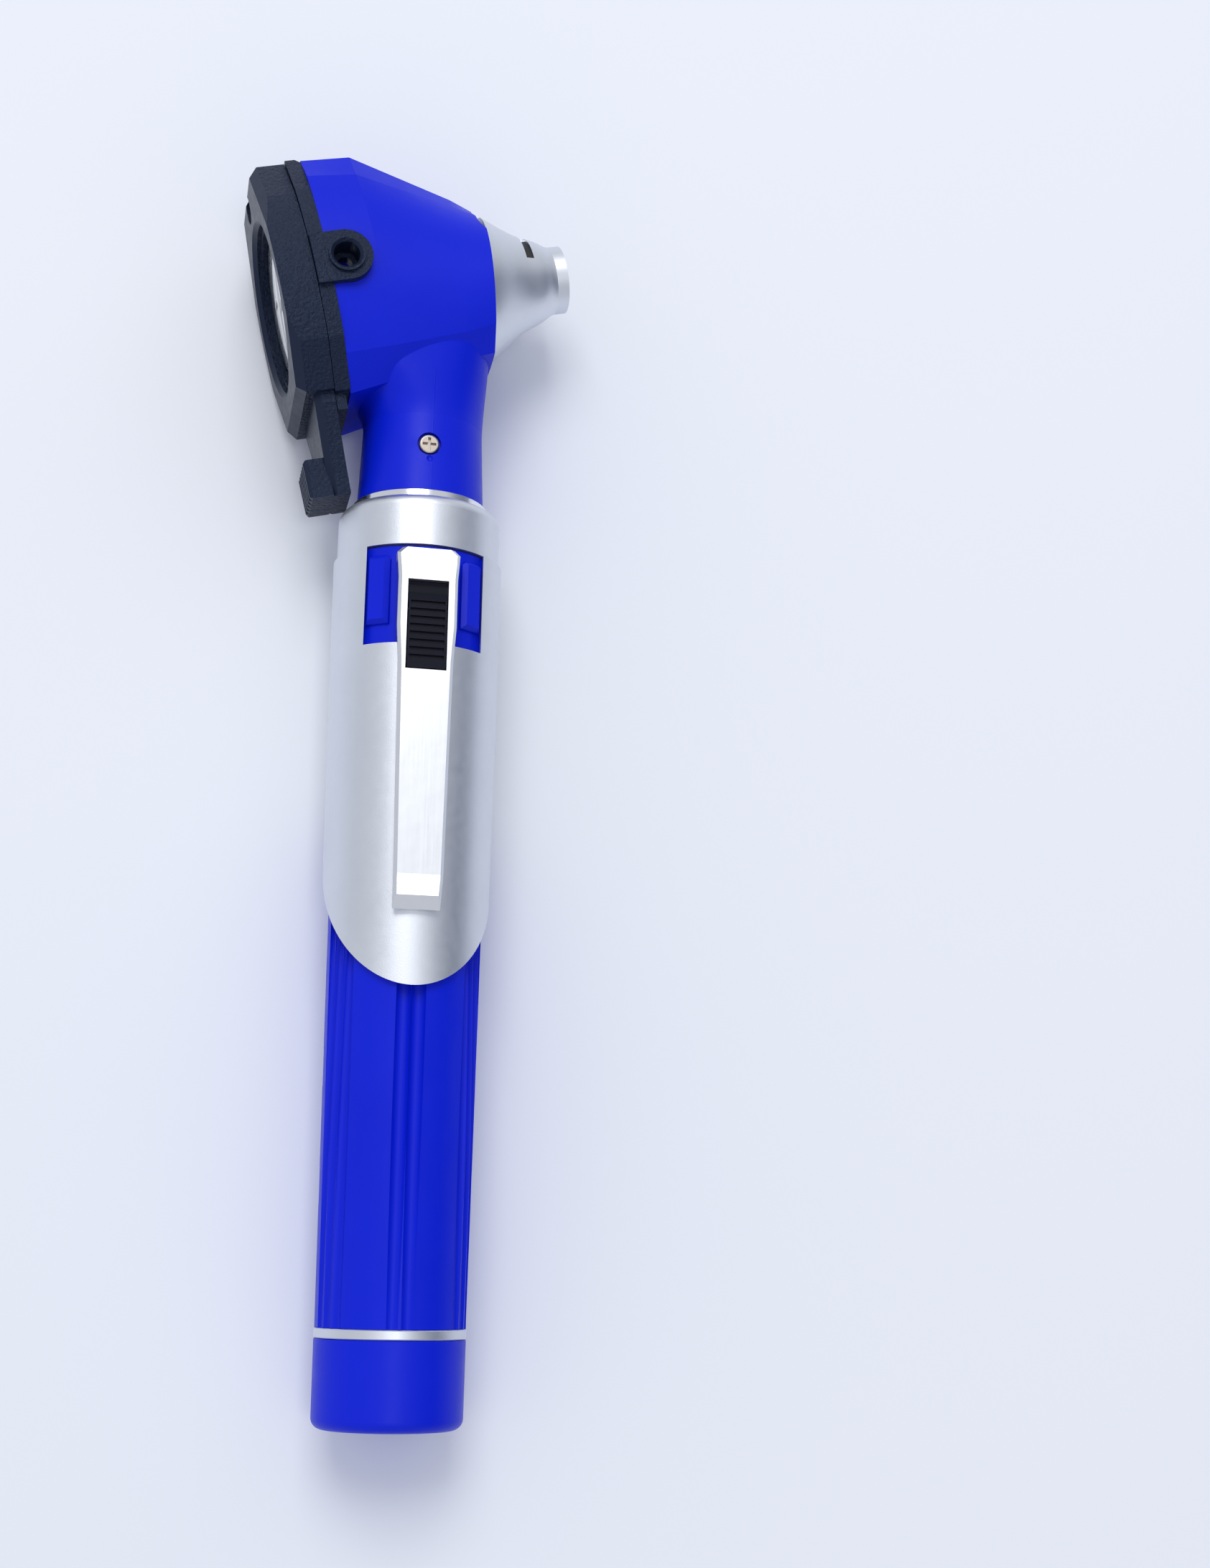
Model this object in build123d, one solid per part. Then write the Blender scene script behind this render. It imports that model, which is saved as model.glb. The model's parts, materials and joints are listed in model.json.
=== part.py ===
from build123d import *
import os
from math import cos, pi, radians, sin

# Pocket fibre-optic otoscope: a two-cell battery handle with a screw-on examination head.
#
# It is drawn upright in its own design frame, in millimetres: +Z runs up the handle axis from
# the end cap to the head, +X points out of the nose and -Y is the side with the pocket clip.
# At the end every piece is laid down in its natural resting pose on a table (see resting_place).

# ---------------------------------------------------------------- driving dimensions: handle
CAP_RADIUS = 9.5
CAP_HEIGHT = 10.9
CAP_FLOOR = 2.2
CAP_EDGE_RADIUS = 1.4
TRIM_TOP = 12.2                 # the thin ring between the cap and the grip
GRIP_RADIUS = 9.45              # at the trim ring; the grip widens gently towards the head
GRIP_TAPER = 0.0099             # growth of the radius per millimetre of height
GRIP_TOP = 111.5
SPIGOT_RADIUS = 8.6             # the grip's threaded lower end, inside the cap
SPIGOT_BOTTOM = 4.0
CELL_BORE = 7.45
CELL_RADIUS = 7.25
CELL_LENGTH = 50.5              # with its 1 mm button
CELL_START = 6.6
SLEEVE_WALL = 0.82
SLEEVE_TONGUE_LOW = 54.0        # lowest point of the oblique sleeve edge, under the clip
SLEEVE_TONGUE_RISE = 28.0       # how much higher that edge is at the back
CUTOUT_HALF_WIDTH = 7.7
CUTOUT_BOTTOM = 98.2
COLLAR_BOTTOM = 111.7
COLLAR_TOP = 118.95
COLLAR_RADIUS = 10.85
COLLAR_SHOULDER = 1.6
SOCKET_RADIUS = 9.1             # the bright step inside the collar
SOCKET_TOP = 120.0
SOCKET_BORE = 7.12

# ---------------------------------------------------------------- driving dimensions: clip and switch
CLIP_THICKNESS = 0.9
CLIP_TOP = 110.6
CLIP_INNER_Y = -11.9
SLOT_HALF_WIDTH = 2.65
SLOT_BOTTOM = 94.2
SLOT_TOP = 106.2
SWITCH_TRAVEL = 1.6
RIB_COUNT = 8
RIB_PITCH = 1.03

# ---------------------------------------------------------------- driving dimensions: head
HEAD_LEAN = 14.2                # the window plane's lean from the handle axis, in degrees
WINDOW_CENTRE = (-21.53, 0, 146.98)
FRAME_THICKNESS = 4.9
PLATE_FRONT = 5.0               # depths are measured from the window frame's front face
PLATE_BACK = 7.05
LENS_BORE = 11.4
LENS_GAP = 0.08                 # between the lens and the wall of its bore
LENS_TOP = 1.0                  # depth of the lens's highest point
LENS_CROWN = 1.0
PIVOT_HEIGHT = 14.9
RIDGE_DEPTH = 13.8              # where the housing's flat top ends and its long slope begins
RIM_CENTRE = (7.4, 0, 152.0)    # centre of the housing's front rim
RIM_LEAN = 6.5
BROW_DEPTH = -4.1               # the ridge ends this far behind the rim, then drops to it
RIM_RADIUS = 11.2
NOSE_TIP = (18.75, 0, 156.2)
NOSE_LEAN = 13.0
NOSE_TIP_RADIUS = 4.65
SLOT_BACK = -5.9                # the lug slot, measured along the nose from its tip
SLOT_FRONT = -4.75
NECK_BOTTOM = 120.05
NECK_RADIUS = 8.55
NECK_TOP_RADIUS = 8.1
CONNECTOR_RADIUS = 7.05
SCREW_HEIGHT = 126.6
PORT_DEPTH = 9.4                # along the depth axis, on the side that faces the clip
PORT_HEIGHT = 0.3
PORT_TAB_RADIUS = 3.5
PORT_RADIUS = 1.75
PORT_FACE = 14.3                # distance of the port's face from the plane of symmetry
RING_FACE = 14.75

# ---------------------------------------------------------------- resting pose on a table
REST_ROLL = -5.6                # the nose side lies a little lower than the window side
REST_PITCH = -1.6               # the head is wider than the handle, so the handle slopes to its cap

BASE = (Align.CENTER, Align.CENTER, Align.MIN)
HEAD = Plane(
    origin=WINDOW_CENTRE,
    x_dir=(0, 1, 0),
    z_dir=(cos(radians(HEAD_LEAN)), 0, sin(radians(HEAD_LEAN))),
)
RIM = Plane(
    origin=RIM_CENTRE,
    x_dir=(0, 1, 0),
    z_dir=(cos(radians(RIM_LEAN)), 0, sin(radians(RIM_LEAN))),
)
NOSE = Plane(
    origin=NOSE_TIP,
    x_dir=(0, 1, 0),
    z_dir=(cos(radians(NOSE_LEAN)), 0, sin(radians(NOSE_LEAN))),
)


# ---------------------------------------------------------------- small helpers
def rod(radius, low, high):
    """A cylinder on the Z axis."""
    return Pos(0, 0, low) * Cylinder(radius, high - low, align=BASE)


def taper(low_radius, high_radius, low, high):
    """A truncated cone on the Z axis."""
    return Pos(0, 0, low) * Cone(low_radius, high_radius, high - low, align=BASE)


def block(x_range, y_range, z_range):
    """A box between pairs of limits."""
    centre = [(pair[0] + pair[1]) / 2 for pair in (x_range, y_range, z_range)]
    sides = [pair[1] - pair[0] for pair in (x_range, y_range, z_range)]
    return Pos(*centre) * Box(*sides)


def grip_radius(height):
    return GRIP_RADIUS + GRIP_TAPER * (height - TRIM_TOP)


def side_pin(radius, x, z, near, far):
    """A cylinder along Y between two distances on the clip side."""
    pin = Cylinder(radius, far - near, align=BASE)
    return Pos(x, -near, z) * Rot(90, 0, 0) * pin


def cross_recess(radius, depth):
    """A Phillips recess cut down from z = 0."""
    blade = Box(2 * radius, 0.42 * radius, depth, align=(Align.CENTER, Align.CENTER, Align.MAX))
    return blade + Rot(0, 0, 90) * blade


def pan_screw(head_radius, head_height, shank_radius, shank_length):
    """A small Phillips screw: head above z = 0, shank below."""
    head = Cylinder(head_radius, head_height, align=BASE)
    head = fillet(head.edges().sort_by(Axis.Z)[-1], 0.4 * head_height)
    head -= Pos(0, 0, head_height) * cross_recess(0.68 * head_radius, 0.75 * head_height)
    shank = Cylinder(shank_radius, shank_length, align=(Align.CENTER, Align.CENTER, Align.MAX))
    return head + shank


# ---------------------------------------------------------------- handle
def flute(azimuth):
    """One long shallow flute in the grip; azimuth 0 is under the clip."""
    length = GRIP_TOP - TRIM_TOP - 1.0
    cutter = Pos(0, -GRIP_RADIUS - 0.62, TRIM_TOP - 1) * Cylinder(0.95, length, align=BASE)
    lean = Rot(-GRIP_TAPER * 180 / pi, 0, 0)
    return Rot(0, 0, azimuth) * Pos(0, 0, TRIM_TOP) * lean * Pos(0, 0, -TRIM_TOP) * cutter


def flank_block(side):
    """A raised faceted block beside the clip's root."""
    pad = Box(3.3, 2.2, 9.3)
    pad = chamfer(pad.faces().sort_by(Axis.Y)[0].edges(), 0.55)
    pad = chamfer(pad.edges().filter_by(Axis.Y).group_by(Axis.Z)[-1], 0.6)
    return Rot(0, 0, side * 35) * Pos(0, -10.1, 105.6) * pad


def handle_tube():
    body = taper(GRIP_RADIUS, grip_radius(GRIP_TOP), TRIM_TOP, GRIP_TOP)
    for azimuth in (-5.5, 5.5, -51, -62, -73, 51, 62, 73, 112, 123, -112, -123, 174.5, -174.5):
        body -= flute(azimuth)
    body = body + flank_block(-1) + flank_block(1)
    body += rod(SPIGOT_RADIUS, SPIGOT_BOTTOM, TRIM_TOP)
    body -= rod(CELL_BORE, SPIGOT_BOTTOM - 1, 108)
    body -= rod(3.05, 107, GRIP_TOP + 1)
    body -= block((-1.7, 1.7), (-7.85, -6), (SPIGOT_BOTTOM - 1, 108))
    body -= block((-1.5, 1.5), (-12, -7), (99.3, 104.3))
    body -= rod(SPIGOT_RADIUS + 1, 8.9, 9.9) - rod(8.05, 8.5, 10.5)
    body -= side_pin(0.8, 0, 109.8, 9.2, 12)
    return body


def cap_seal():
    return Pos(0, 0, 9.4) * Torus(8.34, 0.27)


def handle_sleeve():
    inner_low = grip_radius(SLEEVE_TONGUE_LOW) + 0.03
    inner_high = grip_radius(COLLAR_BOTTOM) + 0.03
    low = SLEEVE_TONGUE_LOW - 1
    high = COLLAR_BOTTOM - 0.1
    shell = taper(inner_low + SLEEVE_WALL, inner_high + SLEEVE_WALL, low, high)
    shell -= taper(inner_low, inner_high, low, high)
    radius = inner_low + SLEEVE_WALL
    slope = SLEEVE_TONGUE_RISE / (2 * radius)
    wedge = Polyline(
        (-radius - 5, SLEEVE_TONGUE_LOW - 5 * slope),
        (radius + 5, SLEEVE_TONGUE_LOW + SLEEVE_TONGUE_RISE + 5 * slope),
        (radius + 5, low - 20),
        (-radius - 5, low - 20),
        close=True,
    )
    shell -= Plane.YZ * extrude(make_face(wedge), amount=30, both=True)
    cutout = block((-CUTOUT_HALF_WIDTH, CUTOUT_HALF_WIDTH), (-20, 0), (CUTOUT_BOTTOM, high + 5))
    return shell - cutout


def collar_ring():
    ring = rod(COLLAR_RADIUS, COLLAR_BOTTOM, COLLAR_TOP)
    ring = fillet(ring.edges().sort_by(Axis.Z)[-1], COLLAR_SHOULDER)
    return ring - rod(SOCKET_RADIUS + 0.02, COLLAR_BOTTOM - 1, COLLAR_TOP + 1)


def neck_socket():
    socket = rod(SOCKET_RADIUS, GRIP_TOP + 0.05, SOCKET_TOP)
    socket = chamfer(socket.edges().sort_by(Axis.Z)[-1], 0.15)
    socket -= rod(SOCKET_BORE, 113, SOCKET_TOP + 1)
    return socket - rod(3.4, GRIP_TOP - 1, 114)


def trim_ring():
    ring = rod(CAP_RADIUS + 0.03, CAP_HEIGHT + 0.06, TRIM_TOP - 0.04)
    ring = chamfer(ring.edges().filter_by(GeomType.CIRCLE), 0.12)
    return ring - rod(SPIGOT_RADIUS + 0.02, CAP_HEIGHT, TRIM_TOP)


def end_cap():
    cap = taper(CAP_RADIUS - 0.07, CAP_RADIUS, 0, CAP_HEIGHT)
    cap = fillet(cap.edges().sort_by(Axis.Z)[0], CAP_EDGE_RADIUS)
    cap = chamfer(cap.edges().sort_by(Axis.Z)[-1], 0.12)
    return cap - rod(SPIGOT_RADIUS + 0.08, CAP_FLOOR, CAP_HEIGHT + 1)


def cap_contact_plate():
    return rod(6.4, CAP_FLOOR + 0.05, CAP_FLOOR + 0.45)


def cap_contact_spring():
    """A conical coil that presses the cells towards the head."""
    low = CAP_FLOOR + 0.82
    coil = Helix(pitch=1.02, height=CELL_START - 0.42 - low, radius=4.6, cone_angle=-22)
    wire = Plane(origin=coil @ 0, z_dir=coil % 0) * Circle(0.32)
    return Pos(0, 0, low) * sweep(wire, path=coil, is_frenet=True)


def battery_cell(start):
    shell_end = start + CELL_LENGTH - 1.0
    cell = rod(CELL_RADIUS, start, shell_end)
    cell = fillet(cell.edges().filter_by(GeomType.CIRCLE), 0.5)
    button = rod(2.7, shell_end - 0.2, start + CELL_LENGTH)
    return cell + fillet(button.edges().sort_by(Axis.Z)[-1], 0.25)


def contact_stud():
    foot = CELL_START + 2 * CELL_LENGTH + 0.05
    return rod(1.9, foot, foot + 0.6) + rod(1.1, foot + 0.6, 112.2)


def insulator_bush():
    foot = CELL_START + 2 * CELL_LENGTH + 0.7
    bush = rod(3.0, foot, GRIP_TOP)
    return bush - rod(1.15, foot - 1, GRIP_TOP + 1)


def contact_strip():
    return block((-1.3, 1.3), (-7.8, -7.5), (4.4, 96.0))


# ---------------------------------------------------------------- clip and switch
def pocket_clip():
    outer = CLIP_INNER_Y - CLIP_THICKNESS
    side = Polyline(
        (outer + 0.45, CLIP_TOP),
        (outer, 108.0),
        (outer - 0.3, 67.6),
        (outer + 0.2, 65.0),
        (-11.75, 63.3),
        (-11.2, 63.5),
        (-11.3, 64.6),
        (CLIP_INNER_Y - 0.1, 66.2),
        (CLIP_INNER_Y - 0.25, 68.0),
        (CLIP_INNER_Y, 96.0),
        (CLIP_INNER_Y, 108.9),
        (-10.72, 108.9),
        (-10.72, CLIP_TOP),
        close=True,
    )
    strip = Plane.YZ * extrude(make_face(side), amount=6, both=True)
    plan = Polyline(
        (3.4, CLIP_TOP),
        (4.1, CLIP_TOP - 0.7),
        (3.85, 106.5),
        (3.85, 100.0),
        (3.55, 95.5),
        (3.12, 67.0),
        (2.95, 63.0),
        (-2.95, 63.0),
        (-3.12, 67.0),
        (-3.55, 95.5),
        (-3.85, 100.0),
        (-3.85, 106.5),
        (-4.1, CLIP_TOP - 0.7),
        (-3.4, CLIP_TOP),
        close=True,
    )
    strip = strip & (Plane.XZ * extrude(make_face(plan), amount=20, both=True))
    long_edges = [
        edge for edge in strip.edges()
        if edge.center().Y < outer + 0.4 and abs(edge.center().X) > 2.9
    ]
    strip = chamfer(long_edges, 0.4)
    strip -= block((-SLOT_HALF_WIDTH, SLOT_HALF_WIDTH), (-15, -11), (SLOT_BOTTOM, SLOT_TOP))
    return strip - side_pin(0.95, 0, 109.8, 10, 11.6)


def clip_stud():
    return side_pin(0.75, 0, 109.8, 9.25, 11.4)


def switch_slider():
    """The thumb slider: ribbed pad, the flange under the clip and the stem into the handle."""
    low = SLOT_BOTTOM + 0.15
    high = SLOT_TOP - SWITCH_TRAVEL - 0.1
    side = Polyline(
        (-11.7, low),
        (-12.95, low),
        (-12.95, high - 1.1),
        (-12.45, high),
        (-11.7, high),
        close=True,
    )
    pad = Plane.YZ * extrude(make_face(side), amount=SLOT_HALF_WIDTH - 0.15, both=True)
    for index in range(RIB_COUNT):
        groove = high - 1.45 - index * RIB_PITCH
        pad -= block((-2.25, 2.25), (-13.5, -12.6), (groove - 0.26, groove + 0.26))
    flange = block((-3.1, 3.1), (-11.75, -11.4), (92.4, 106.7))
    stem = block((-1.3, 1.3), (-11.5, -7.85), (99.6, 102.4))
    return pad + flange + stem


def switch_contact():
    return block((-1.3, 1.3), (-7.8, -7.5), (97.2, 105.2))


# ---------------------------------------------------------------- lamp
def bulb_base():
    base = rod(3.2, 113.2, 119.0) + rod(4.4, 117.2, 118.0)
    tip = taper(0.9, 1.5, 112.3, 113.2)
    return base + tip


def bulb_glass():
    stem = rod(2.5, 119.02, 121.6)
    return stem + Pos(0, 0, 121.6) * Sphere(2.5)


# ---------------------------------------------------------------- head: shared outline
def head_outline(top, shoulder, flank, hip, foot):
    """The head's outline across the depth axis, from its points on one side."""
    def other(point):
        return (-point[0], point[1])

    edges = [
        Line(other(top), top),
        Line(top, shoulder),
        ThreePointArc(shoulder, flank, hip),
        Line(hip, foot),
        Line(foot, other(foot)),
        Line(other(foot), other(hip)),
        ThreePointArc(other(hip), other(flank), other(shoulder)),
        Line(other(shoulder), other(top)),
    ]
    return make_face(edges)


def frame_outline():
    return head_outline((7.4, 17.4), (11.2, 11.2), (13.65, 0.5), (12.3, -10.0), (8.7, -15.7))


# ---------------------------------------------------------------- head: window
def window_lever():
    """The flat arm below the window frame, narrowing to its thumb block."""
    half = [(8.3, -12.5), (7.7, -17.1), (6.0, -21.5), (4.6, -26.0), (4.0, -28.7)]
    points = half + [(-x, y) for x, y in reversed(half)]
    arm = extrude(make_face(Polyline(*points, close=True)), amount=FRAME_THICKNESS - 2.2)
    arm = Pos(0, 0, 2.2) * arm
    front = arm.faces().sort_by(Axis.Z)[0]
    sides = [edge for edge in front.edges() if abs(edge.center().X) > 3]
    arm = chamfer(sides, 0.9)
    thumb = block((-3.9, 3.9), (-28.7, -23.3), (-0.6, 2.6))
    thumb = chamfer(thumb.faces().sort_by(Axis.Z)[0].edges().filter_by(Axis.X), 0.35)
    for index in range(7):
        valley = -3.9 + index * 1.3
        cutter = Rot(0, 0, 45) * Box(0.62, 0.62, 20)
        thumb -= Pos(valley, -26, -0.6) * Rot(90, 0, 0) * cutter
    return arm + thumb


def window_frame():
    frame = extrude(frame_outline(), amount=FRAME_THICKNESS)
    front = frame.faces().sort_by(Axis.Z)[0]
    ends = [edge for edge in front.edges() if abs(edge.center().Y) > 12]
    frame = chamfer(ends, 1.15)
    frame += window_lever()
    frame -= rod(LENS_BORE, -1, 3.4)
    frame -= rod(10.3, 3, FRAME_THICKNESS + 1)
    frame -= taper(LENS_BORE + 0.55, LENS_BORE, -0.01, 0.6)
    frame -= Pos(0, PIVOT_HEIGHT) * rod(1.9, -1, 1.4)
    frame -= Pos(0, PIVOT_HEIGHT) * rod(1.06, 1, 6)
    return frame - Pos(0, PIVOT_HEIGHT) * rod(2.2, FRAME_THICKNESS - 0.5, FRAME_THICKNESS + 1)


def crown_ball(top):
    """The ball whose cap, starting at depth top, is the lens's crown."""
    radius = LENS_BORE - LENS_GAP
    ball_radius = (radius**2 + LENS_CROWN**2) / (2 * LENS_CROWN)
    return Pos(0, 0, top + ball_radius) * Sphere(ball_radius)


def magnifier_lens():
    """A plano-convex magnifier, its crown towards the user."""
    return rod(LENS_BORE - LENS_GAP, LENS_TOP, 3.36) & crown_ball(LENS_TOP)


def lens_ring():
    ring = rod(LENS_BORE - 0.04, 1.15, 1.85) - rod(LENS_BORE - 0.75, 0, 3)
    return ring - crown_ball(LENS_TOP - 0.05)


def pivot_screw():
    screw = pan_screw(1.7, 0.8, 1.0, 5.0)
    return Pos(0, PIVOT_HEIGHT, 1.38) * Rot(180, 0, 0) * screw


def pivot_washer():
    washer = rod(2.1, FRAME_THICKNESS - 0.42, PLATE_FRONT - 0.02)
    return Pos(0, PIVOT_HEIGHT) * (washer - rod(1.1, 0, 10))


# ---------------------------------------------------------------- head: base plate and port
def port_tab(inner):
    """The U-shaped tab that carries the insufflation port, on the side facing the clip."""
    depth_span = (PLATE_FRONT, PORT_DEPTH)
    high = PORT_HEIGHT + PORT_TAB_RADIUS
    low = PORT_HEIGHT - PORT_TAB_RADIUS
    tab = block((-PORT_FACE, -inner), (low, high), depth_span)
    round_end = Cylinder(PORT_TAB_RADIUS, PORT_FACE - inner, align=BASE)
    return tab + Pos(-PORT_FACE, PORT_HEIGHT, PORT_DEPTH) * Rot(0, 90, 0) * round_end


def port_rod(radius, near, far):
    """A cylinder on the port's axis between two distances from the plane of symmetry."""
    pin = Cylinder(radius, far - near, align=BASE)
    return Pos(-far, PORT_HEIGHT, PORT_DEPTH) * Rot(0, 90, 0) * pin


def plate_screw_places():
    return [(-8.9, 12.3), (8.9, 12.3), (-5.8, -15.4), (5.8, -15.4)]


def base_plate():
    plate = extrude(
        head_outline((8.0, 17.55), (11.4, 11.6), (13.65, 0.5), (12.3, -10.0), (8.4, -16.0)),
        amount=PLATE_BACK - PLATE_FRONT,
    )
    back = plate.faces().sort_by(Axis.Z)[-1]
    crest = [edge for edge in back.edges() if edge.center().Y > 16]
    plate = Pos(0, 0, PLATE_FRONT) * chamfer(crest, 0.7)
    plate += block((-7.5, 7.5), (-18.3, -14), (PLATE_FRONT, PLATE_FRONT + 1.35))
    plate += port_tab(11.6)
    plate += block((10.9, 12.5), (11.9, 13.4), (PLATE_FRONT - 1.2, PLATE_FRONT + 1))
    plate -= rod(10.6, 0, 20)
    plate -= rod(12.35, 0, PLATE_FRONT + 0.7) - rod(11.25, 0, 20)
    plate += port_rod(2.45, 12, RING_FACE) + port_rod(PORT_RADIUS + 0.18, 9.4, 12.2)
    plate -= port_rod(PORT_RADIUS, 11.2, 20) + port_rod(1.0, 8, 12)
    plate -= Pos(-RING_FACE - 0.01, PORT_HEIGHT, PORT_DEPTH) * Rot(0, 90, 0) * Cone(
        PORT_RADIUS + 0.4, PORT_RADIUS, 0.4, align=BASE
    )
    plate -= Pos(0, PIVOT_HEIGHT) * rod(1.02, 0, 20)
    for x, y in plate_screw_places():
        plate -= Pos(x, y) * (rod(0.55, 0, 20) + taper(1.05, 0.55, PLATE_FRONT - 0.01, PLATE_FRONT + 0.5))
    return plate


def plate_gasket():
    return rod(12.3, PLATE_FRONT + 0.02, PLATE_FRONT + 0.68) - rod(11.3, 0, 20)


def plate_screws():
    screws = []
    for x, y in plate_screw_places():
        head = taper(1.0, 0.5, PLATE_FRONT + 0.02, PLATE_FRONT + 0.5)
        head -= Pos(0, 0, PLATE_FRONT + 0.02) * Rot(180, 0, 0) * cross_recess(0.6, 0.25)
        screws.append(Pos(x, y) * (head + rod(0.5, PLATE_FRONT + 0.5, PLATE_FRONT + 4.5)))
    return Compound(screws)


# ---------------------------------------------------------------- head: housing
def rounded_outline(crown, brow, shoulder, flank, hip, foot, sole):
    """An outline with a crowned top and round flanks, drawn in towards the neck below."""
    def other(point):
        return (-point[0], point[1])

    edges = [
        ThreePointArc(other(brow), (0, crown), brow),
        Line(brow, shoulder),
        ThreePointArc(shoulder, flank, hip),
        Line(hip, foot),
        ThreePointArc(foot, (0, sole), other(foot)),
        Line(other(foot), other(hip)),
        ThreePointArc(other(hip), other(flank), other(shoulder)),
        Line(other(shoulder), other(brow)),
    ]
    return make_face(edges)


def on_rim(angle):
    """The point of the rim's circle at an angle from its top."""
    return (RIM_RADIUS * sin(radians(angle)), RIM_RADIUS * cos(radians(angle)))


def housing_shell():
    """Lofts from the plate's outline to the ridge's start, to the ridge's end and to the round rim."""
    rear = head_outline((8.2, 17.2), (10.7, 13.7), (13.5, 0.5), (11.1, -12.0), (7.8, -16.4))
    ridge = head_outline((7.9, 17.1), (10.1, 13.4), (12.85, 0.3), (10.6, -11.6), (7.4, -15.2))
    brow = rounded_outline(12.35, (5.4, 12.2), (7.1, 10.3), (11.58, 0.2), (9.95, -9.2), (7.1, -12.0), -12.4)
    rim = rounded_outline(RIM_RADIUS, on_rim(24), on_rim(38), on_rim(90), (9.7, -7.9), (7.0, -11.0), -11.6)
    sections = [
        Plane(HEAD.location * Pos(0, 0, PLATE_BACK)) * rear,
        Plane(HEAD.location * Pos(0, 0, RIDGE_DEPTH)) * ridge,
        Plane(RIM.location * Pos(0, 0, BROW_DEPTH)) * brow,
        RIM * rim,
    ]
    shell = loft(sections[0:2], ruled=True)
    return shell + loft(sections[1:3], ruled=True) + loft(sections[2:4], ruled=True)


def flare_section(height, back, front, half_width, squareness):
    """A level superellipse from back to front; a squareness of 2 is an ellipse."""
    points = []
    for step in range(24):
        angle = radians(15 * step)
        reach = abs(cos(angle)) ** (2 / squareness) * (1 if cos(angle) >= 0 else -1)
        width = abs(sin(angle)) ** (2 / squareness) * (1 if sin(angle) >= 0 else -1)
        points.append(((front + back) / 2 + (front - back) / 2 * reach, half_width * width, height))
    return make_face(Spline(*points, periodic=True))


def neck_root():
    """The smooth flare where the neck grows out of the underside of the head."""
    flare = loft([
        flare_section(130.0, -NECK_TOP_RADIUS - 0.02, NECK_TOP_RADIUS + 0.02, NECK_TOP_RADIUS + 0.02, 2),
        flare_section(133.5, -8.9, 8.2, 8.25, 2.05),
        flare_section(137.0, -11.8, 8.4, 9.0, 2.4),
        flare_section(140.5, -16.0, 8.5, 9.8, 3.0),
        flare_section(144.0, -20.0, 8.35, 10.2, 3.8),
    ])
    behind_plate = HEAD * block((-30, 30), (-30, 30), (-30, PLATE_BACK))
    before_rim = RIM * block((-30, 30), (-30, 30), (0, 20))
    return flare - behind_plate - before_rim


def neck_outside():
    return taper(NECK_RADIUS, NECK_TOP_RADIUS, NECK_BOTTOM, 131) + neck_root()


def head_housing():
    body = housing_shell() + neck_outside()
    body -= HEAD * taper(10.9, 9.75, PLATE_BACK - 0.1, 32)
    body -= rod(CONNECTOR_RADIUS + 0.03, NECK_BOTTOM - 1, 129.5)
    body -= rod(5.2, 129, 148)
    body -= HEAD * (port_tab(11.58) + port_rod(2.47, 12, 16))
    body -= HEAD * port_rod(PORT_RADIUS + 0.2, 8, 16)
    body -= HEAD * (Pos(0, PIVOT_HEIGHT) * rod(1.02, 0, PLATE_BACK + 1.5))
    for x, y in plate_screw_places():
        body -= HEAD * (Pos(x, y) * rod(0.52, 0, PLATE_FRONT + 4.6))
    body -= side_pin(1.6, 0, SCREW_HEIGHT, 7.55, 10)
    body -= side_pin(0.82, 0, SCREW_HEIGHT, 5, 10)
    return body - Pos(0.1, -8.68, SCREW_HEIGHT - 2.1) * Sphere(0.55)


def neck_screw():
    screw = pan_screw(1.35, 0.62, 0.78, 2.2)
    return Pos(0, -7.57, SCREW_HEIGHT) * Rot(90, 0, 0) * screw


def head_connector():
    """The metal sleeve screwed into the neck; it holds the lamp and plugs into the handle."""
    sleeve = rod(CONNECTOR_RADIUS, 113.1, 129.3)
    sleeve -= rod(3.3, 113, 130)
    sleeve -= rod(4.6, 117.15, 130)
    return sleeve - side_pin(0.8, 0, SCREW_HEIGHT, 5, 10)


# ---------------------------------------------------------------- head: nose and light path
def nose_cone():
    """The flared metal nose, with the slot that locks a speculum near its tip."""
    flare = Spline(
        (NOSE_TIP_RADIUS, -1.6),
        (5.45, -3.2),
        (6.35, -5.4),
        (8.1, -8.6),
        (9.9, -11.4),
        (10.9, -13.4),
        tangents=((0.25, -1), (0.6, -1)),
    )
    tip = Polyline((0, -13.4), (0, 0), (NOSE_TIP_RADIUS, 0), (NOSE_TIP_RADIUS, -1.6))
    foot = Line((10.9, -13.4), (0, -13.4))
    profile = make_face([flare, *tip.edges(), foot])
    outside = NOSE * revolve(Plane.XZ * profile, axis=Axis.Z)
    behind = RIM * Pos(0, 0, -20) * Box(60, 60, 40)
    outside -= behind
    outside += NOSE * rod(9.0, -14.2, -11.5)
    bore = taper(8.6, 7.9, -15, -10.5) + taper(7.9, 4.0, -10.5, -2.5) + rod(4.0, -2.5, 1)
    return outside - NOSE * bore - NOSE * lug_slot(4.9, 10, 0)


def lug_slot(inner, outer, gap):
    """The slot in the clip side of the nose that locks a speculum's lug, or a piece that fills it."""
    ring = rod(outer, SLOT_BACK + gap, SLOT_FRONT - gap) - rod(inner, SLOT_BACK - 1, SLOT_FRONT + 1)
    return ring & block((-12, -1.2 - gap), (1.0 + gap, 12), (SLOT_BACK - 1, SLOT_FRONT + 1))


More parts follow.
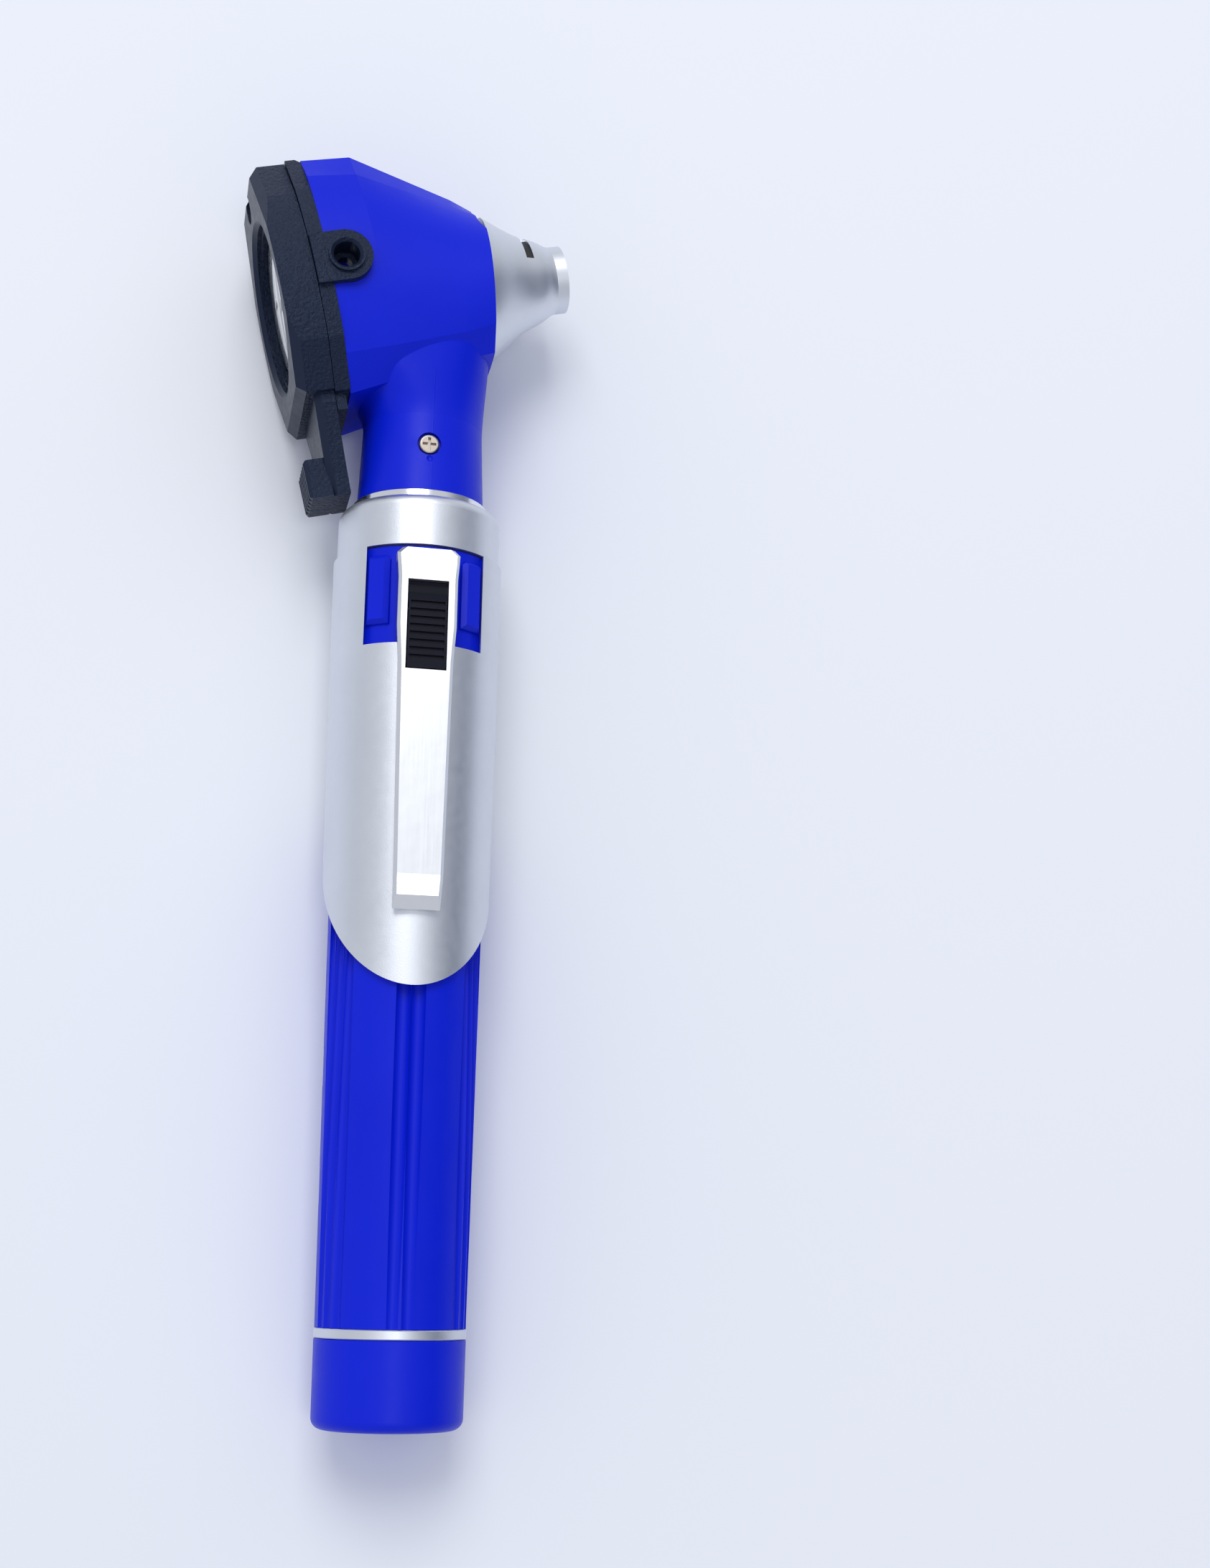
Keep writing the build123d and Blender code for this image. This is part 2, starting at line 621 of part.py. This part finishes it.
def sight_tube():
    """The black viewing funnel from the window to the tip of the nose."""
    funnel = taper(7.4, 3.3, -10.5, -2.5) + rod(3.3, -2.5, -0.15) + rod(7.4, -16.5, -10.5)
    bore = taper(6.9, 2.85, -10.5, -2.5) + rod(2.85, -2.5, 1) + rod(6.9, -17, -10.5)
    return NOSE * (funnel - bore + lug_slot(4.62, 5.75, 0.04))


def light_guide():
    """The fibre bundle: a stem above the lamp, a trough under the funnel and a ring round its tip."""
    ring = rod(3.9, -2.6, -0.1) - rod(3.36, -3, 1)
    fan = taper(7.72, 3.9, -10.4, -2.6) - taper(7.46, 3.36, -10.4, -2.6)
    trough = rod(8.4, -23.6, -15) + taper(8.4, 7.72, -15, -10.4)
    trough = (trough - rod(7.46, -24, -10)) & block((-4, 4), (-9.5, -5.5), (-24, -10.4))
    stem = rod(2.2, 124.6, 148) - NOSE * rod(7.46, -30, -10)
    return NOSE * (ring + fan + trough - lug_slot(4.3, 10, -0.05)) + stem


# ---------------------------------------------------------------- placing and writing
def resting_place(parts):
    """The location that lays the design frame on a table, clip side up and head towards -Y."""
    lay_down = Plane(origin=(0, 0, 0), x_dir=(-1, 0, 0), z_dir=(0, -1, 0)).location
    turn = Rot(REST_PITCH, 0, 0) * Rot(0, REST_ROLL, 0) * lay_down
    box = Compound([turn * part for part in parts]).bounding_box()
    centre = box.center()
    return Pos(-centre.X, -centre.Y, -box.min.Z) * turn


def all_parts():
    head_pieces = {
        "window_frame": window_frame(),
        "magnifier_lens": magnifier_lens(),
        "lens_retaining_ring": lens_ring(),
        "window_pivot_screw": pivot_screw(),
        "pivot_washer": pivot_washer(),
        "base_plate": base_plate(),
        "plate_gasket": plate_gasket(),
        "plate_screws": plate_screws(),
    }
    pieces = {name: HEAD * piece for name, piece in head_pieces.items()}
    pieces.update({
        "end_cap": end_cap(),
        "cap_contact_plate": cap_contact_plate(),
        "cap_contact_spring": cap_contact_spring(),
        "cap_seal": cap_seal(),
        "trim_ring": trim_ring(),
        "handle_tube": handle_tube(),
        "handle_sleeve": handle_sleeve(),
        "collar_ring": collar_ring(),
        "neck_socket": neck_socket(),
        "rear_cell": battery_cell(CELL_START),
        "front_cell": battery_cell(CELL_START + CELL_LENGTH),
        "contact_stud": contact_stud(),
        "insulator_bush": insulator_bush(),
        "contact_strip": contact_strip(),
        "pocket_clip": pocket_clip(),
        "clip_stud": clip_stud(),
        "switch_slider": switch_slider(),
        "switch_contact": switch_contact(),
        "bulb_base": bulb_base(),
        "bulb_glass": bulb_glass(),
        "head_connector": head_connector(),
        "head_housing": head_housing(),
        "neck_screw": neck_screw(),
        "nose_cone": nose_cone(),
        "sight_tube": sight_tube(),
        "light_guide": light_guide(),
    })
    return pieces


def main():
    pieces = all_parts()
    place = resting_place(list(pieces.values()))
    os.makedirs("parts", exist_ok=True)
    for name, piece in pieces.items():
        export_step(place * piece, f"parts/{name}.step")


if __name__ == "__main__":
    main()
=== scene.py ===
import json
import math

import bpy
from mathutils import Matrix, Vector


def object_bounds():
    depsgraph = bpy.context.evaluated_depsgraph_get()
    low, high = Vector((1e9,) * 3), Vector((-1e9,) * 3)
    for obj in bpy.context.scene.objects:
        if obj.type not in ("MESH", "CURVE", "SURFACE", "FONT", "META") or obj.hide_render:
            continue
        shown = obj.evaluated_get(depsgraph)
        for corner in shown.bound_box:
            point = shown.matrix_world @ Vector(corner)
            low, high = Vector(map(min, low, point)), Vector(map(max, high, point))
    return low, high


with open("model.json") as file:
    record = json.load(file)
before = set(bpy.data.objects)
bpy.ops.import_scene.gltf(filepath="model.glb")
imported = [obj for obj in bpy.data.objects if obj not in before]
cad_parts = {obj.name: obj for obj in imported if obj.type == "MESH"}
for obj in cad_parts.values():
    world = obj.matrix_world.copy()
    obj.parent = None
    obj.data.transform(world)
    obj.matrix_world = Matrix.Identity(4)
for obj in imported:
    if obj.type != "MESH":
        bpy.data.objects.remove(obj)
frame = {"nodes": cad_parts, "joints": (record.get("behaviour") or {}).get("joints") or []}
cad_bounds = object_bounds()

MM = 0.001

# ---------------------------------------------------------------- the upright handle frame
# The pieces lie on a table. Places are easier to say in the instrument's own frame, in which
# +Z runs up the handle from the end cap, +X is the way the nose points and -Y is the clip side.
CAP_TURN_HEIGHT = 5.0           # millimetres up the handle axis, where the cap's joint is placed

joints = {joint["name"]: joint for joint in frame["joints"]}
handle_up = Vector(joints["head_pull"]["axis"])
nose_side = -Vector(joints["clip_flex"]["axis"])
clip_away = -handle_up.cross(nose_side)
depth_axis = -Vector(joints["window_swing"]["axis"])
handle_base = Vector(joints["cap_turn"]["pos_m"]) - handle_up * CAP_TURN_HEIGHT * MM


def along(x, y, z):
    """A direction in the upright frame, as a direction in the row frame."""
    return nose_side * x - clip_away * y + handle_up * z


def place(x, y, z):
    """A point in the upright frame, in millimetres, as a point in the row frame."""
    return handle_base + along(x, y, z) * MM


# ---------------------------------------------------------------- shader helpers
class Shader:
    """A material with one principled shader, and short ways to add procedural detail to it."""

    def __init__(self, name, color, roughness, metallic=0.0, **sockets):
        self.material = bpy.data.materials.new(name)
        self.material.use_nodes = True
        self.nodes = self.material.node_tree.nodes
        self.links = self.material.node_tree.links
        self.bsdf = self.nodes["Principled BSDF"]
        self.bsdf.inputs["Base Color"].default_value = (*color, 1.0)
        self.bsdf.inputs["Roughness"].default_value = roughness
        self.bsdf.inputs["Metallic"].default_value = metallic
        for socket, value in sockets.items():
            self.bsdf.inputs[socket.replace("_", " ")].default_value = value
        self.where = self.nodes.new("ShaderNodeTexCoord")
        self.last_bump = None

    def noise(self, size, detail=2.0, stretch=None, roughness=0.5):
        """Noise whose grains are about size metres across, stretched along a direction if one is given."""
        texture = self.nodes.new("ShaderNodeTexNoise")
        texture.inputs["Scale"].default_value = 1.0 / size
        texture.inputs["Detail"].default_value = detail
        texture.inputs["Roughness"].default_value = roughness
        source = self.where.outputs["Object"]
        if stretch is not None:
            source = self.squeezed(source, *stretch)
        self.links.new(source, texture.inputs["Vector"])
        return texture.outputs["Fac"]

    def squeezed(self, source, direction, factor):
        """Coordinates with one direction shrunk by factor, so that patterns grow long in it."""
        dot = self.vector_math("DOT_PRODUCT", source, direction)
        scaled = self.nodes.new("ShaderNodeVectorMath")
        scaled.operation = "SCALE"
        scaled.inputs[0].default_value = direction
        self.links.new(self.math("MULTIPLY", dot, 1.0 - 1.0 / factor), scaled.inputs["Scale"])
        less = self.nodes.new("ShaderNodeVectorMath")
        less.operation = "SUBTRACT"
        self.links.new(source, less.inputs[0])
        self.links.new(scaled.outputs["Vector"], less.inputs[1])
        return less.outputs["Vector"]

    def vector_math(self, operation, source, vector):
        """A single number worked out from two vectors, such as their dot product."""
        node = self.nodes.new("ShaderNodeVectorMath")
        node.operation = operation
        node.inputs[1].default_value = vector
        self.links.new(source, node.inputs[0])
        return node.outputs["Value"]

    def math(self, operation, first, second=0.0, third=0.0):
        """Sums on numbers and on the outputs of other nodes."""
        node = self.nodes.new("ShaderNodeMath")
        node.operation = operation
        for index, value in enumerate((first, second, third)):
            if isinstance(value, (int, float)):
                node.inputs[index].default_value = value
            else:
                self.links.new(value, node.inputs[index])
        return node.outputs["Value"]

    def distance(self, direction, start):
        """Distance in metres along a direction from a start point."""
        dot = self.vector_math("DOT_PRODUCT", self.where.outputs["Object"], direction)
        return self.math("SUBTRACT", dot, start.dot(direction))

    def ramp(self, source, low, high):
        """0 below low and 1 above high."""
        node = self.nodes.new("ShaderNodeMapRange")
        node.clamp = True
        node.interpolation_type = "SMOOTHSTEP"
        node.inputs["From Min"].default_value = low
        node.inputs["From Max"].default_value = high
        self.links.new(source, node.inputs["Value"])
        return node.outputs["Result"]

    def spread(self, source, low, high):
        """A 0 to 1 value spread from low to high."""
        node = self.nodes.new("ShaderNodeMapRange")
        node.inputs["To Min"].default_value = low
        node.inputs["To Max"].default_value = high
        self.links.new(source, node.inputs["Value"])
        return node.outputs["Result"]

    def mix_color(self, source, first, second):
        """Blends the base colour from first to second as source goes from 0 to 1."""
        node = self.nodes.new("ShaderNodeMix")
        node.data_type = "RGBA"
        node.inputs["A"].default_value = (*first, 1.0)
        node.inputs["B"].default_value = (*second, 1.0)
        self.links.new(source, node.inputs["Factor"])
        self.links.new(node.outputs["Result"], self.bsdf.inputs["Base Color"])

    def bump(self, height, depth):
        """Adds a bump whose height of 1 stands depth metres proud."""
        node = self.nodes.new("ShaderNodeBump")
        node.inputs["Distance"].default_value = depth
        node.inputs["Strength"].default_value = 1.0
        self.links.new(height, node.inputs["Height"])
        if self.last_bump is not None:
            self.links.new(self.last_bump, node.inputs["Normal"])
        self.last_bump = node.outputs["Normal"]
        self.links.new(self.last_bump, self.bsdf.inputs["Normal"])

    def roughen(self, source, low, high):
        """Varies the roughness from low to high as source goes from 0 to 1."""
        self.links.new(self.spread(source, low, high), self.bsdf.inputs["Roughness"])


# ---------------------------------------------------------------- materials
NOSE_TIP = (18.75, 0, 156.2)                # upright frame, millimetres
NOSE_LEAN = math.radians(13)
NOSE_AXIS = along(math.cos(NOSE_LEAN), 0, math.sin(NOSE_LEAN))
NOSE_RING_PITCH = 0.22                      # of the lathe's marks, in millimetres
THREAD_PITCH = 1.25                         # on the spigot inside the cap
THREAD_TOP = 8.6
THREAD_DEPTH = 0.16
PARTING_OFFSET = 0.4                        # from the handle's axis towards the nose
PARTING_TOP = 137
FIBRE_WIDTH = 0.12
BLUE = (0.0018, 0.016, 0.66)
BLUE_DEEP = (0.0014, 0.012, 0.57)
BLACK = (0.008, 0.013, 0.034)
COOL_SHEEN = (0.62, 0.76, 1.0, 1.0)
SILVER = (0.74, 0.765, 0.82)
SILVER_WORN = (0.66, 0.69, 0.75)
CLIP_SILVER = (0.74, 0.76, 0.80)
SLIDER_BLACK = (0.004, 0.005, 0.013)
CELL_JACKET = (0.06, 0.06, 0.065)
FIBRE_END = (0.85, 0.88, 0.9)
FIBRE_JACKET = (0.006, 0.006, 0.007)


def blue_plastic(name):
    """Satin moulded plastic with a very fine skin."""
    shader = Shader(name, BLUE, 0.40, Specular_IOR_Level=0.16)
    cloud = shader.noise(14 * MM, 3.0)
    shader.mix_color(cloud, BLUE, BLUE_DEEP)
    shader.roughen(shader.noise(2.5 * MM, 3.0), 0.34, 0.46)
    shader.bump(shader.noise(0.16 * MM, 2.0), 0.006 * MM)
    shader.bump(shader.noise(5 * MM, 1.0), 0.03 * MM)
    return shader


def handle_blue():
    """The grip's blue, with the thread on the spigot inside the cap."""
    shader = blue_plastic("handle_blue")
    height = shader.distance(handle_up, handle_base)
    turns = shader.math("MULTIPLY", height, 2 * math.pi / (THREAD_PITCH * MM))
    thread = shader.math("SINE", turns)
    inside_cap = shader.math("LESS_THAN", height, THREAD_TOP * MM)
    shader.bump(shader.math("MULTIPLY", thread, inside_cap), THREAD_DEPTH * MM)
    return shader


def housing_blue():
    """The head's blue, with the faint parting line of its mould."""
    shader = blue_plastic("housing_blue")
    across = shader.distance(nose_side, handle_base + nose_side * PARTING_OFFSET * MM)
    away = shader.math("ABSOLUTE", across)
    height = shader.distance(handle_up, handle_base)
    below = shader.math("LESS_THAN", height, PARTING_TOP * MM)
    line = shader.math("MULTIPLY", shader.ramp(away, 0.09 * MM, 0.02 * MM), below)
    shader.bump(line, 0.018 * MM)
    return shader


def black_plastic():
    """Black plastic: spark-eroded grain on the faces round the rim, nearly smooth in front."""
    shader = Shader("black_plastic", BLACK, 0.42, Specular_IOR_Level=0.28, Specular_Tint=COOL_SHEEN)
    facing = shader.vector_math("DOT_PRODUCT", shader.where.outputs["Normal"], depth_axis)
    rim = shader.ramp(shader.math("ABSOLUTE", facing), 0.55, 0.25)
    grain = shader.noise(0.5 * MM, 3.0, roughness=0.62)
    shader.bump(shader.math("MULTIPLY", grain, rim), 0.3 * MM)
    shader.bump(shader.noise(0.12 * MM, 2.0), 0.006 * MM)
    shader.roughen(shader.noise(1.1 * MM, 4.0), 0.26, 0.5)
    return shader


def black_slider():
    """The thumb slider's plastic, smoother and darker than the head's."""
    shader = Shader("black_slider", SLIDER_BLACK, 0.36, Specular_IOR_Level=0.12)
    shader.bump(shader.noise(0.3 * MM, 2.0), 0.008 * MM)
    shader.roughen(shader.noise(1.5 * MM, 3.0), 0.28, 0.42)
    return shader


def satin_metal():
    """Finely blasted aluminium: a glittery grain and a slow change of tone."""
    shader = Shader("satin_silver", SILVER, 0.42, 1.0)
    shader.mix_color(shader.noise(9 * MM, 4.0), SILVER, SILVER_WORN)
    shader.roughen(shader.noise(1.2 * MM, 3.0), 0.37, 0.49)
    shader.bump(shader.noise(0.15 * MM, 2.0, roughness=0.6), 0.012 * MM)
    shader.bump(shader.noise(3.5 * MM, 2.0), 0.02 * MM)
    return shader


def nose_metal():
    """Turned aluminium, with fine lathe marks round the nose."""
    shader = Shader("nose_metal", SILVER, 0.40, 1.0)
    shader.mix_color(shader.noise(6 * MM, 3.0), SILVER, SILVER_WORN)
    skin = shader.noise(0.25 * MM, 3.0)
    distance = shader.distance(NOSE_AXIS, handle_base)
    turns = shader.math("MULTIPLY", distance, 2 * math.pi / (NOSE_RING_PITCH * MM))
    lathe = shader.math("SINE", turns)
    shader.bump(lathe, 0.0012 * MM)
    shader.bump(skin, 0.004 * MM)
    shader.roughen(shader.noise(2 * MM, 3.0), 0.36, 0.46)
    return shader


def clip_metal():
    """Satin strip with a fine grain along its length."""
    shader = Shader("clip_metal", CLIP_SILVER, 0.34, 1.0)
    streak = shader.noise(0.3 * MM, 3.0, stretch=(handle_up, 30.0))
    shader.bump(streak, 0.004 * MM)
    shader.bump(shader.noise(4 * MM, 2.0), 0.03 * MM)
    shader.roughen(streak, 0.30, 0.42)
    return shader


def bright_metal(name, color, roughness):
    """Plated or polished small parts."""
    shader = Shader(name, color, roughness, 1.0)
    shader.roughen(shader.noise(0.8 * MM, 3.0), roughness * 0.8, roughness * 1.3)
    shader.bump(shader.noise(0.4 * MM, 2.0), 0.004 * MM)
    return shader


def plain_plastic(name, color, roughness):
    """An even plastic or rubber with a fine skin."""
    shader = Shader(name, color, roughness)
    shader.bump(shader.noise(0.3 * MM, 2.0), 0.008 * MM)
    shader.roughen(shader.noise(2 * MM, 3.0), roughness - 0.05, roughness + 0.08)
    return shader


def clear_glass(name, tint):
    """Clear glass for the magnifier and the lamp."""
    return Shader(name, tint, 0.02, Transmission_Weight=1.0, IOR=1.5)


def fibre_bundle():
    """Bright fibre ends packed side by side in the tip's ring, and a black jacket behind them."""
    shader = Shader("fibre_bundle", FIBRE_JACKET, 0.3)
    cells = shader.nodes.new("ShaderNodeTexVoronoi")
    cells.inputs["Scale"].default_value = 1.0 / (FIBRE_WIDTH * MM)
    shader.links.new(shader.where.outputs["Object"], cells.inputs["Vector"])
    ends = shader.ramp(shader.distance(NOSE_AXIS, place(*NOSE_TIP)), -0.5 * MM, -0.3 * MM)
    glow = shader.math("MULTIPLY", ends, shader.spread(cells.outputs["Distance"], 1.0, 0.35))
    shader.mix_color(glow, FIBRE_JACKET, FIBRE_END)
    return shader


def make_materials():
    silver = satin_metal()
    black = black_plastic()
    shiny = bright_metal("bright_metal", (0.82, 0.83, 0.86), 0.16)
    rubber = plain_plastic("black_rubber", (0.015, 0.015, 0.016), 0.7)
    contact = bright_metal("contact_metal", (0.80, 0.66, 0.36), 0.25)
    screw = bright_metal("dark_screw", (0.36, 0.32, 0.29), 0.34)
    return {
        "handle_tube": handle_blue(),
        "end_cap": blue_plastic("cap_blue"),
        "head_housing": housing_blue(),
        "window_frame": black,
        "lens_retaining_ring": black,
        "base_plate": black,
        "switch_slider": black_slider(),
        "handle_sleeve": silver,
        "collar_ring": silver,
        "trim_ring": silver,
        "nose_cone": nose_metal(),
        "pocket_clip": clip_metal(),
        "neck_socket": shiny,
        "bulb_base": shiny,
        "head_connector": shiny,
        "neck_screw": screw,
        "window_pivot_screw": screw,
        "pivot_washer": shiny,
        "plate_screws": shiny,
        "clip_stud": shiny,
        "cap_contact_plate": contact,
        "cap_contact_spring": contact,
        "contact_stud": contact,
        "contact_strip": contact,
        "switch_contact": contact,
        "cap_seal": rubber,
        "plate_gasket": rubber,
        "insulator_bush": plain_plastic("white_insulator", (0.72, 0.71, 0.66), 0.45),
        "rear_cell": plain_plastic("cell_jacket", CELL_JACKET, 0.3),
        "front_cell": plain_plastic("cell_jacket_front", CELL_JACKET, 0.3),
        "sight_tube": plain_plastic("black_tube", (0.008, 0.008, 0.009), 0.6),
        "light_guide": fibre_bundle(),
        "magnifier_lens": clear_glass("clear_lens", (0.93, 0.96, 0.98)),
        "bulb_glass": clear_glass("lamp_glass", (0.96, 0.96, 0.94)),
    }


def dress_nodes():
    """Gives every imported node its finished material."""
    for name, shader in make_materials().items():
        node = frame["nodes"][name]
        node.data.materials.clear()
        node.data.materials.append(shader.material)


# ---------------------------------------------------------------- studio
FLOOR_COLOR = (0.80, 0.825, 0.89)
ROOM_PALE = (0.88, 0.91, 0.97)
ROOM_DARK = (0.15, 0.18, 0.27)
ROOM_STRENGTH = 0.72
DARK_SIDE = (-0.97, 0.10, 0.22)             # row frame, towards the darkest part of the room
DARK_SPREAD = (0.72, 0.97)                  # the cosines from it at which the dark begins and is full
FLOOR_WIDTH = 6.0                           # metres
FLOOR_DROP = 0.0001                         # below the table plane, so that no faces share a plane
KEY_TOWARD = (0.10, -0.62, 1.0)             # row frame, from the instrument to the light
OVERHEAD_TOWARD = (-0.12, 0.25, 1.0)


def make_floor():
    """A sheet of faintly blue paper under the instrument."""
    bpy.ops.mesh.primitive_plane_add(size=FLOOR_WIDTH, location=(0, 0, -FLOOR_DROP))
    floor = bpy.context.object
    floor.name = "floor"
    shader = Shader("floor_paper", FLOOR_COLOR, 0.75, Specular_IOR_Level=0.2)
    shader.mix_color(shader.noise(0.4, 2.0), FLOOR_COLOR, tuple(0.985 * c for c in FLOOR_COLOR))
    floor.data.materials.append(shader.material)


def make_light(name, toward, distance, size, energy, color):
    """A square soft light with sides of size metres, aimed at the middle of the instrument."""
    low, high = cad_bounds
    centre = (low + high) / 2
    light = bpy.data.lights.new(name, "AREA")
    light.shape = "SQUARE"
    light.size = size
    light.energy = energy
    light.color = color
    holder = bpy.data.objects.new(name, light)
    holder.location = centre + Vector(toward).normalized() * distance
    holder.rotation_mode = "QUATERNION"
    holder.rotation_quaternion = (holder.location - centre).to_track_quat("Z", "Y")
    bpy.context.scene.collection.objects.link(holder)


def make_lights():
    """A wide key light from beyond the head, and a small one above that gives the metal its glint."""
    make_light("key", KEY_TOWARD, 1.1, 0.55, 5.2, (1.0, 0.99, 0.97))
    make_light("overhead", OVERHEAD_TOWARD, 0.9, 0.16, 0.7, (0.98, 0.99, 1.0))


def make_world():
    """A pale room with a darker stretch low on the nose side, which the metal mirrors as a band."""
    world = bpy.data.worlds.new("room")
    bpy.context.scene.world = world
    world.use_nodes = True
    nodes, links = world.node_tree.nodes, world.node_tree.links
    where = nodes.new("ShaderNodeTexCoord")
    aim = nodes.new("ShaderNodeVectorMath")
    aim.operation = "DOT_PRODUCT"
    aim.inputs[1].default_value = DARK_SIDE
    span = nodes.new("ShaderNodeMapRange")
    span.interpolation_type = "SMOOTHSTEP"
    span.inputs["From Min"].default_value = DARK_SPREAD[0]
    span.inputs["From Max"].default_value = DARK_SPREAD[1]
    tone = nodes.new("ShaderNodeMix")
    tone.data_type = "RGBA"
    tone.inputs["A"].default_value = (*ROOM_PALE, 1.0)
    tone.inputs["B"].default_value = (*ROOM_DARK, 1.0)
    links.new(where.outputs["Generated"], aim.inputs[0])
    links.new(aim.outputs["Value"], span.inputs["Value"])
    links.new(span.outputs["Result"], tone.inputs["Factor"])
    links.new(tone.outputs["Result"], nodes["Background"].inputs["Color"])
    nodes["Background"].inputs["Strength"].default_value = ROOM_STRENGTH


# ---------------------------------------------------------------- camera
CAMERA_PLACE = (-32.3, -277.3, 20.0)        # upright frame, millimetres
CAMERA_FORWARD = (0.202, 0.955, 0.219)      # directions in the upright frame
CAMERA_UP = (-0.061, -0.211, 0.976)
SENSOR = 36.0                               # millimetres
VERTICAL_VIEW = 40.0                        # degrees, over the picture's height
CLIP_NEAR, CLIP_FAR = 0.01, 20.0            # metres


def make_camera():
    """The camera above the handle's lower half, looking along towards the head."""
    data = bpy.data.cameras.new("camera")
    data.sensor_width = SENSOR
    data.lens = SENSOR / 2 / math.tan(math.radians(VERTICAL_VIEW / 2))
    data.clip_start = CLIP_NEAR
    data.clip_end = CLIP_FAR
    camera = bpy.data.objects.new("camera", data)
    forward = along(*CAMERA_FORWARD).normalized()
    right = forward.cross(along(*CAMERA_UP)).normalized()
    up = right.cross(forward)
    turn = Matrix((right, up, -forward)).transposed()
    camera.matrix_world = Matrix.Translation(place(*CAMERA_PLACE)) @ turn.to_4x4()
    bpy.context.scene.collection.objects.link(camera)
    bpy.context.scene.camera = camera


bpy.context.scene.view_settings.view_transform = "Standard"
dress_nodes()
make_floor()
make_lights()
make_world()
make_camera()
